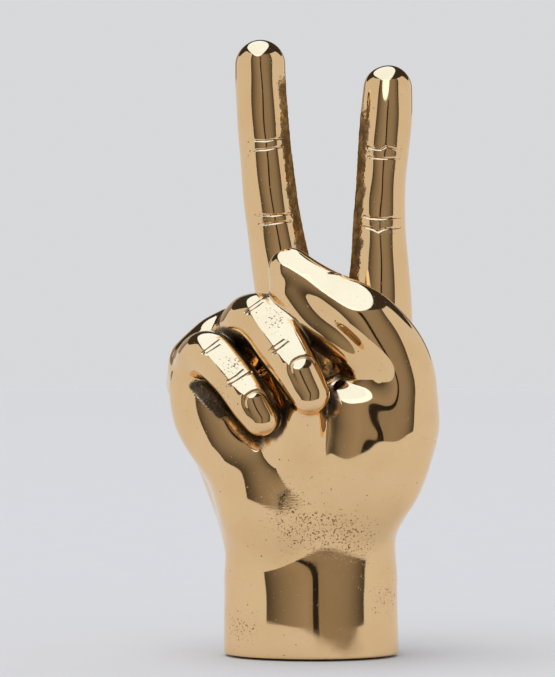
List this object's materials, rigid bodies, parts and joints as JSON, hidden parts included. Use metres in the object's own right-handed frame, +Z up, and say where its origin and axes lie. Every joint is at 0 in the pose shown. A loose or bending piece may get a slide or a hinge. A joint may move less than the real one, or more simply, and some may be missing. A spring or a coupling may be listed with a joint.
{
  "type": "hand sculpture",
  "caption": "Free-standing polished brass hand with the index and middle finger raised in a V, the thumb folded over the curled fingers, on a cut-off wrist with a felted foot.",
  "frame": {"origin": "middle of the foot, on the underside of the felt pad", "axes": "+Z up along the wrist to the fingertips, -Y the way the palm faces, +X towards the thumb's side"},
  "size_m": [0.0974, 0.0717, 0.2222],
  "materials": {
    "polished_brass": "cast brass polished to a mirror, with small casting pits and dark patina in the creases",
    "drawn_brass": "drawn and sawn brass, unpolished",
    "screw_steel": "bright zinc-plated steel",
    "felt": "pressed black felt"
  },
  "bodies": {
    "root": {"wrist_section": "polished_brass", "palm_section": "polished_brass", "index_finger": "polished_brass", "middle_finger": "polished_brass", "ring_finger": "polished_brass", "little_finger": "polished_brass", "thumb": "polished_brass", "index_dowel": "drawn_brass", "middle_dowel": "drawn_brass", "ring_dowel": "drawn_brass", "little_dowel": "drawn_brass", "thumb_dowel": "drawn_brass", "wrist_collar": "drawn_brass", "base_plate": "drawn_brass", "base_screw_1": "screw_steel", "base_screw_2": "screw_steel", "base_screw_3": "screw_steel", "felt_pad": "felt"}
  },
  "joints": []
}
